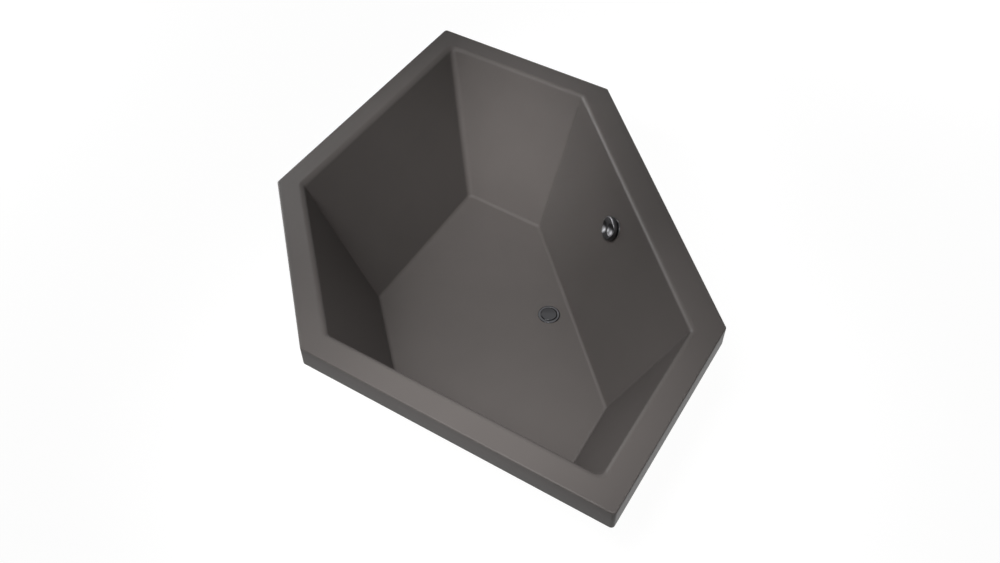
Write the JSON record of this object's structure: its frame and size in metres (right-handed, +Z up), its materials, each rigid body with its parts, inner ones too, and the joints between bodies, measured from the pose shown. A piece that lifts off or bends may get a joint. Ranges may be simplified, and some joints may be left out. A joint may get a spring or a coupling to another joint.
{
  "type": "corner bathtub",
  "caption": "Corner bathtub with a six-sided rim, a sloping faceted basin and an upright lip, on a steel underframe with levelling feet, with a rotary overflow and waste.",
  "frame": {"origin": "on the room's floor, under the middle of the square plan of 1.5 m by 1.5 m", "axes": "+Z up; the long sides that stand against walls face -X and -Y; the front, with the overflow, faces +X and +Y alike"},
  "size_m": [1.5, 1.5, 0.66],
  "materials": {
    "acrylic": "anthracite acrylic sheet with a satin surface",
    "fibre": "rough glass-fibre laminate",
    "board": "plain chipboard",
    "timber": "planed softwood",
    "steel": "zinc-coated square tube",
    "zinc": "bright zinc-coated steel",
    "dark_plastic": "moulded dark plastic",
    "chrome": "polished dark chrome plate",
    "seal_rubber": "soft black sealing rubber",
    "cable_cover": "smooth black cable cover",
    "white_plastic": "moulded white plastic"
  },
  "bodies": {
    "tub": {"tub_shell": "acrylic", "fibre_backing": "fibre", "base_board": "board", "batten_wall_left": "timber", "batten_back": "timber", "batten_wall_right": "timber", "batten_end_right": "timber", "batten_front": "timber", "batten_end_left": "timber", "long_rail_left": "steel", "long_rail_right": "steel", "cross_rail_middle": "steel", "cross_arm_left": "steel", "cross_arm_right": "steel", "rail_screws": "zinc", "foot_bushes": "zinc", "waste_flange": "chrome", "waste_top_seal": "seal_rubber", "waste_bottom_seal": "seal_rubber", "waste_body": "white_plastic", "trap_cup": "white_plastic", "trap_cup_seal": "seal_rubber", "outlet_pipe": "white_plastic", "outlet_nut": "white_plastic", "outlet_seal": "seal_rubber", "crank_pin": "zinc", "overflow_body": "white_plastic", "overflow_seal": "seal_rubber", "overflow_ring": "chrome", "overflow_hose": "white_plastic", "hose_collar_upper": "dark_plastic", "hose_collar_lower": "dark_plastic", "pull_cable": "cable_cover"},
    "foot_1": {"foot_screw_1": "zinc", "foot_pad_1": "dark_plastic"},
    "foot_2": {"foot_screw_2": "zinc", "foot_pad_2": "dark_plastic"},
    "foot_3": {"foot_screw_3": "zinc", "foot_pad_3": "dark_plastic"},
    "foot_4": {"foot_screw_4": "zinc", "foot_pad_4": "dark_plastic"},
    "foot_5": {"foot_screw_5": "zinc", "foot_pad_5": "dark_plastic"},
    "foot_6": {"foot_screw_6": "zinc", "foot_pad_6": "dark_plastic"},
    "plug": {"plug_cap": "chrome", "plug_seal": "seal_rubber", "plug_stem": "chrome"},
    "crank": {"lift_crank": "dark_plastic"},
    "wire": {"cable_end": "zinc"},
    "knob": {"overflow_knob": "chrome", "knob_spindle": "zinc"}
  },
  "joints": [
    {"name": "knob_turn", "type": "hinge", "parent": "tub", "child": "knob", "pos_m": [0.24906, 0.24906, 0.536], "axis": [-0.6685, -0.6685, 0.3259], "range_deg": [0, 90]},
    {"name": "plug_lift", "type": "slide", "parent": "tub", "child": "plug", "axis": [0, 0, 1], "range_m": [0, 0.009]},
    {"name": "crank_swing", "type": "hinge", "parent": "tub", "child": "crank", "pos_m": [0.11453, 0.08342, 0.112], "axis": [0.7071, 0.7071, 0], "range_deg": [0, 23.61]},
    {"name": "cable_pull", "type": "slide", "parent": "tub", "child": "wire", "axis": [0.7071, -0.7071, 0], "range_m": [0, 0.00491]},
    {"name": "foot_1_level", "type": "slide", "parent": "tub", "child": "foot_1", "axis": [0, 0, -1], "range_m": [0, 0.015]},
    {"name": "foot_2_level", "type": "slide", "parent": "tub", "child": "foot_2", "axis": [0, 0, -1], "range_m": [0, 0.015]},
    {"name": "foot_3_level", "type": "slide", "parent": "tub", "child": "foot_3", "axis": [0, 0, -1], "range_m": [0, 0.015]},
    {"name": "foot_4_level", "type": "slide", "parent": "tub", "child": "foot_4", "axis": [0, 0, -1], "range_m": [0, 0.015]},
    {"name": "foot_5_level", "type": "slide", "parent": "tub", "child": "foot_5", "axis": [0, 0, -1], "range_m": [0, 0.015]},
    {"name": "foot_6_level", "type": "slide", "parent": "tub", "child": "foot_6", "axis": [0, 0, -1], "range_m": [0, 0.015]}
  ],
  "couplings": [
    {"joint": "plug_lift", "follows": "knob_turn", "m_per_rad": 0.005729},
    {"joint": "crank_swing", "follows": "knob_turn", "ratio": 0.26229},
    {"joint": "cable_pull", "follows": "knob_turn", "m_per_rad": 0.003125}
  ]
}
